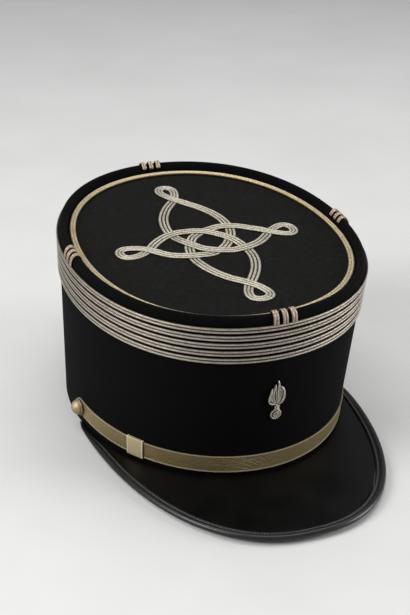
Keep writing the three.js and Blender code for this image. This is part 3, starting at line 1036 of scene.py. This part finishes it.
# %% The peak's outline
PEAK_HALF_WIDTH = 86.9
PEAK_BACK_Y = -7
PEAK_REACH = 162.2
PEAK_EXPONENT = 2.32
PEAK_TUCK = 1.4
PEAK_TUCK_POWER = 10
PEAK_THICKNESS = 2.1
PEAK_ARCH = 2
PEAK_TIP_DEPTH = 2.4
BINDING_TIP_DEPTH = 2.1
BINDING_WIDTH = 6.2
BINDING_CLEAR = 2.4
BINDING_LEAST_WIDTH = 0.25
BINDING_LEAST_HEIGHT = 0.5
PEAK_STEPS = 240
SHEET_ROWS = 12
OUTLINE_CHECKS = 2000
OUTLINE_SKIP = 0.002


def peak_outline(s):
    angle = s * math.pi
    power = 2 / PEAK_EXPONENT
    half_width = PEAK_HALF_WIDTH - PEAK_TUCK * (1 - math.sin(angle)) ** PEAK_TUCK_POWER
    x = half_width * math.copysign(abs(math.cos(angle)) ** power, math.cos(angle))
    return Vector((x, PEAK_BACK_Y - PEAK_REACH * math.sin(angle) ** power))


def peak_inward(s):
    along = (peak_outline(s + 1e-3) - peak_outline(s - 1e-3)).normalized()
    return Vector((along.y, -along.x))


def peak_depth(s):
    """How far the outline stands out from the crown's foot."""
    x, y = peak_outline(s)
    level = (x / BASE.half_width) ** 2 + (y / BASE.half_length) ** 2 - 1
    return level / math.hypot(2 * x / BASE.half_width ** 2, 2 * y / BASE.half_length ** 2)


def binding_scale(s):
    """The binding narrows and flattens where the peak runs out beside the crown."""
    room = max(peak_depth(s) - BINDING_CLEAR, 0) / BINDING_WIDTH
    full = room / (1 + room ** 4) ** 0.25
    return max(full, BINDING_LEAST_WIDTH), max(full, BINDING_LEAST_HEIGHT)


def arch_at(s):
    return PEAK_ARCH * math.sin(s * math.pi) ** 3


def peak_share(depth):
    """Maps 0 to 1 on to the stretch of outline that stands out by a given depth, closer at its ends."""
    half = evenly(OUTLINE_CHECKS, 0, 0.5)
    first = next(s for s in half if s > OUTLINE_SKIP and peak_depth(s) >= depth)
    lean = math.acos(1 - 2 * first)
    return lambda u: (1 - math.cos(lean + (math.pi - 2 * lean) * u)) / 2


# %% The leather sheet
def peak_sheet():
    share = peak_share(PEAK_TIP_DEPTH)
    section = [(reach, 0) for reach in evenly(SHEET_ROWS, 0, 1)]
    section += [(reach, 1) for reach in evenly(SHEET_ROWS, 1, 0)]

    def seat(u, item):
        reach, up = item
        s = share(u)
        edge = peak_outline(s) + peak_inward(s) * (binding_scale(s)[0] * BINDING_WIDTH + GAP)
        t = math.atan2(edge.y / BASE.half_length, edge.x / BASE.half_width)
        foot = wall_point(t, up * PEAK_THICKNESS, GAP)
        plan = foot.xy.lerp(edge, reach)
        return Vector((plan.x, plan.y, foot.z + arch_at(s) * reach ** 2))

    return rolled(section, PEAK_STEPS, seat, closed=False)


piece("peak_leather_sheet", peak_sheet(), peak_leather, "peak_leather", "peak")

# %% [markdown]
# The binding is sewn through the groove between its beads. Each stitch pulls the inner bead down a little, so
# the bead is a row of tiny cushions. For that the script needs the distance along the outline, which it
# adds up once, step by step.

# %% The binding's two beads
Bead = namedtuple("Bead", "inset z radius first last pucker")
EdgePoint = namedtuple("EdgePoint", "inset z pucker")
OUTER_BEAD = Bead(1.85, 1.85, 1.85, -60, 130, 0)
INNER_BEAD = Bead(4.8, 2.15, 1.15, 35, 170, 1)
BEAD_POINTS = 8
BINDING_CHAMFER = 0.2
BINDING_STEPS = 1600
TIP_FADE = 0.05
TIP_LEAST = 0.1
STITCH_PITCH = 1.9
STITCH_PULL = 0.28


def bead_points(bead):
    points = []
    for degrees in evenly(BEAD_POINTS, bead.first, bead.last):
        a = math.radians(degrees)
        inset = bead.inset - bead.radius * math.cos(a)
        points.append(EdgePoint(inset, bead.z + bead.radius * math.sin(a), bead.pucker))
    return points


def lengths_along(share, steps):
    """The distance along the peak's outline at each step."""
    points = [peak_outline(share(u)) for u in evenly(steps, 0, 1)]
    total = [0]
    for a, b in zip(points, points[1:]):
        total.append(total[-1] + (b - a).length)
    return total


def peak_binding():
    share = peak_share(BINDING_TIP_DEPTH)
    lengths = lengths_along(share, BINDING_STEPS)
    back = [EdgePoint(BINDING_WIDTH, BINDING_CHAMFER, 0), EdgePoint(BINDING_WIDTH - BINDING_CHAMFER, 0, 0)]

    def seat(u, p):
        s = share(u)
        width, height = binding_scale(s)
        fade = min(min(u, 1 - u) / TIP_FADE, 1)
        tip = TIP_LEAST + (1 - TIP_LEAST) * math.sin(fade * math.pi / 2)
        to_wall = (1 - tip) * (peak_depth(s) - GAP)
        plan = peak_outline(s) + peak_inward(s) * (p.inset * width * tip + to_wall)
        stitch = 0.5 + 0.5 * math.cos(TURN * lengths[round(u * BINDING_STEPS)] / STITCH_PITCH)
        pull = p.pucker * STITCH_PULL * stitch ** 3
        return Vector((plan.x, plan.y, (p.z - pull) * height * tip + arch_at(s)))

    section = bead_points(OUTER_BEAD) + bead_points(INNER_BEAD) + back
    return rolled(section, BINDING_STEPS, seat, closed=False)


piece("peak_binding_beads", peak_binding(), binding_leather, "binding_leather", "peak_binding")

# %% [markdown]
# ## The badge
# The little flame over a ball is embroidered: each stroke is a length of twisted metal cord, laid on the
# cloth and sewn down. So it is made of strokes too. A stroke is a smooth curve through a few points, and
# two plies twist round each other along it.

# %% Cord strokes
BADGE_BALL_Z = 42.9
BADGE_X = 1.3
BADGE_LIFT = 0.15
CORD_POINTS = 10
CORD_RADIUS = 0.5
CORD_TWIST = 2.4
CORD_STEP = 0.3
CORD_LEAST_STEPS = 12
CORD_WALK = 40
CORD_END = 0.35
CORD_HOLLOW_TONE = 0.25
PLY_HOLLOW = 0.82
PLY_RISE = 0.24

badge_facing = wall_facing(FRONT, BADGE_BALL_Z)
badge_seat = wall_point(FRONT, BADGE_BALL_Z, BADGE_LIFT)
badge_seat.x = BADGE_X
badge_tilt = math.atan2(-badge_facing.y, badge_facing.z)
BADGE_PLACE = Matrix.Translation(badge_seat) @ Matrix.Rotation(badge_tilt, 4, "X")


def through(*corners):
    """A smooth path through some points on the cloth, for s from 0 to 1."""
    points = [Vector(corner) for corner in corners]
    points = [points[0] * 2 - points[1]] + points + [points[-1] * 2 - points[-2]]

    def path(s):
        whole = clamp(s) * (len(points) - 3)
        i = min(int(whole), len(points) - 4)
        f = whole - i
        a, b, c, d = points[i:i + 4]
        square = (a * 2 - b * 5 + c * 4 - d) * f ** 2
        cube = (b * 3 - a - c * 3 + d) * f ** 3
        return (b * 2 + (c - a) * f + square + cube) / 2

    return path


def cord(path, radius, lift=0):
    """A two-ply cord along a path, thinner at its ends."""
    walk = [path(s) for s in evenly(CORD_WALK, 0, 1)]
    length = sum((b - a).length for a, b in zip(walk, walk[1:]))
    turns = length / CORD_TWIST

    def ply(s, angle):
        return 0.5 + 0.5 * math.cos(2 * (angle - TURN * turns * s))

    def seat(s, angle):
        along = (path(s + 0.01) - path(s - 0.01)).normalized()
        across = Vector((-along.y, along.x))
        ends = min(min(s, 1 - s) * length / (2 * radius), 1)
        slim = CORD_END + (1 - CORD_END) * math.sqrt(ends)
        thick = radius * slim * (PLY_HOLLOW + PLY_RISE * ply(s, angle))
        plan = path(s) + across * (thick * math.cos(angle))
        return BADGE_PLACE @ Vector((plan.x, plan.y, lift + radius + thick * math.sin(angle)))

    # Painted shade between the plies and down their sides, painted highlight on their backs.
    def tone(s, angle):
        return thread_tone(ply(s, angle), angle, CORD_HOLLOW_TONE)

    section = evenly(CORD_POINTS, 0, TURN)[:-1]
    steps = max(CORD_LEAST_STEPS, round(length / CORD_STEP))
    return rolled(section, steps, seat, closed=False, tone=tone)


# %% Ball, neck and flame
BALL_RING = 2.95
SPIRAL_LIFT = 0.12
NECK_HEIGHTS = (3.6, 4.5, 5.4)
NECK_LIFT = 0.15
Stroke = namedtuple("Stroke", "radius corners")
FLAME = [
    Stroke(0.55, [(-1.3, 6.9), (-4.3, 8.2), (-4.9, 11), (-4.2, 14.5), (-3.4, 18.2)]),
    Stroke(0.42, [(-0.9, 7.6), (-2.7, 9.6), (-3.4, 12), (-3.4, 15), (-3.2, 17)]),
    Stroke(0.4, [(-2.6, 8.3), (-3.8, 10), (-4.0, 12.4)]),
    Stroke(0.5, [(-0.4, 7.6), (-1.8, 10), (-2.4, 13), (-2.1, 17), (-1.4, 20.6)]),
    Stroke(0.45, [(0.0, 7.8), (-0.6, 11), (-0.9, 14.5), (-1.2, 18), (-1.4, 19.8)]),
    Stroke(0.6, [(0.3, 7.6), (0.5, 11), (0.2, 16), (0.4, 19.5), (-0.2, 23)]),
    Stroke(0.45, [(0.6, 7.4), (1.5, 11), (1.3, 15.5), (1.0, 18.6), (0.3, 21.4)]),
    Stroke(0.78, [(1.0, 7.0), (3.0, 8.6), (3.9, 11.5), (3.8, 14.5), (3.0, 17), (1.7, 18.9)]),
    Stroke(0.45, [(0.9, 7.8), (2.0, 10), (2.6, 13), (2.4, 15.4), (1.7, 17.2)]),
    Stroke(0.45, [(-3.1, 6.5), (-1.6, 7.3), (-0.2, 6.5), (1.0, 7.2), (2.3, 6.7)]),
]


def round_path(turns, first, last, start):
    """A path round the middle of the ball, from one radius to another."""
    def path(s):
        angle = math.radians(start) + TURN * turns * s
        return Vector((math.cos(angle), math.sin(angle))) * (first + (last - first) * s)
    return path


def flame_badge():
    cords = [cord(round_path(1, BALL_RING, BALL_RING, 90), CORD_RADIUS)]
    spiral = round_path(turns=1.7, first=0.55, last=2.05, start=200)
    cords.append(cord(spiral, CORD_RADIUS, SPIRAL_LIFT))
    for y in NECK_HEIGHTS:
        cords.append(cord(through((-1.4, y), (0.3, y + 0.45), (1.9, y)), CORD_RADIUS, NECK_LIFT))
    cords += [cord(through(*stroke.corners), stroke.radius) for stroke in FLAME]
    return join(cords)


badge_thread = metal_lace(
    "badge thread", painted_shade=(0.035, 0.027, 0.017), face=(0.46, 0.41, 0.325), glint=(1.0, 0.95, 0.83))
piece("flame_badge_thread", flame_badge(), badge_thread, "badge_thread", "flame_badge", ribbed=True)

# %% [markdown]
# ## Floor, light and camera
# The cap stands on a plain pale floor. Black cloth shows its shape only by what it reflects, and metal lace
# only glitters if there is something bright to see, so the light comes from large soft panels: one above,
# one on each side, and a weak one beside the camera.

# %% Floor
FLOOR_HALF = 8.0


def floor_finish():
    finish = Finish("pale floor", Roughness=0.75)
    mottle = finish.noise(9, detail=4)
    finish.colour(finish.ramp(mottle, (0.3, (0.47, 0.466, 0.458)), (0.7, (0.505, 0.501, 0.493))))
    return finish.material


floor_mesh = bpy.data.meshes.new("floor")
floor_bm = bmesh.new()
bmesh.ops.create_grid(floor_bm, x_segments=1, y_segments=1, size=FLOOR_HALF)
floor_bm.to_mesh(floor_mesh)
floor_bm.free()
floor_mesh.materials.append(floor_finish())
floor = bpy.data.objects.new("floor", floor_mesh)
bpy.context.scene.collection.objects.link(floor)

# %% Lights
Panel = namedtuple("Panel", "name place size power")
LIGHT_TARGET = Vector((0, 0, 0.06))
ROOM_COLOUR = (0.9, 0.95, 1.0, 1)
ROOM_STRENGTH = 0.22
PANELS = [
    Panel("above", Vector((0.1, 0.3, 1.3)), 1.5, 16.5),
    Panel("left_side", Vector((-1.1, -0.1, 0.75)), 0.7, 18),
    Panel("right_side", Vector((1.15, -0.5, 0.4)), 0.7, 15),
    Panel("by_the_camera", Vector((-0.35, -1.3, 1.1)), 0.8, 1.5),
]
for panel in PANELS:
    light = bpy.data.lights.new(panel.name, "AREA")
    light.shape = "DISK"
    light.size = panel.size
    light.energy = panel.power
    holder = bpy.data.objects.new(panel.name, light)
    holder.location = panel.place
    holder.rotation_euler = (LIGHT_TARGET - panel.place).to_track_quat("-Z", "Y").to_euler()
    bpy.context.scene.collection.objects.link(holder)

world = bpy.data.worlds.new("soft room")
world.use_nodes = True
room_inputs = world.node_tree.nodes["Background"].inputs
room_inputs["Color"].default_value = ROOM_COLOUR
room_inputs["Strength"].default_value = ROOM_STRENGTH
bpy.context.scene.world = world
bpy.context.scene.view_settings.view_transform = "Standard"

# %% Camera
SENSOR_WIDTH = 36
PHOTO_LONG_SIDE = 615
FOCAL_PIXELS = 1292
CAMERA_AZIMUTH = math.radians(-22.67)
CAMERA_ELEVATION = math.radians(27.10)
CAMERA_ROLL = math.radians(1.075)
CAMERA_DISTANCE = 803.5
CAMERA_AIM = Vector((0, 0, 61.5))
FRAME_RIGHT = 3.28
FRAME_DOWN = 4.78

back = Vector((math.sin(CAMERA_AZIMUTH) * math.cos(CAMERA_ELEVATION),
               -math.cos(CAMERA_AZIMUTH) * math.cos(CAMERA_ELEVATION), math.sin(CAMERA_ELEVATION)))
level = Vector((math.cos(CAMERA_AZIMUTH), math.sin(CAMERA_AZIMUTH), 0))
upright = back.cross(level)
right = level * math.cos(CAMERA_ROLL) + upright * math.sin(CAMERA_ROLL)
up = upright * math.cos(CAMERA_ROLL) - level * math.sin(CAMERA_ROLL)

camera_data = bpy.data.cameras.new("camera")
camera_data.sensor_width = SENSOR_WIDTH
camera_data.lens = SENSOR_WIDTH * FOCAL_PIXELS / PHOTO_LONG_SIDE
camera_data.shift_x = FRAME_RIGHT / PHOTO_LONG_SIDE
camera_data.shift_y = -FRAME_DOWN / PHOTO_LONG_SIDE
camera = bpy.data.objects.new("camera", camera_data)
axes = Matrix((right, up, back)).transposed().to_4x4()
camera.matrix_world = Matrix.Translation(to_scene(CAMERA_AIM + back * CAMERA_DISTANCE)) @ axes
bpy.context.scene.collection.objects.link(camera)
bpy.context.scene.camera = camera
print("camera", round(camera_data.lens, 1), "mm, at", [round(x, 3) for x in camera.location])
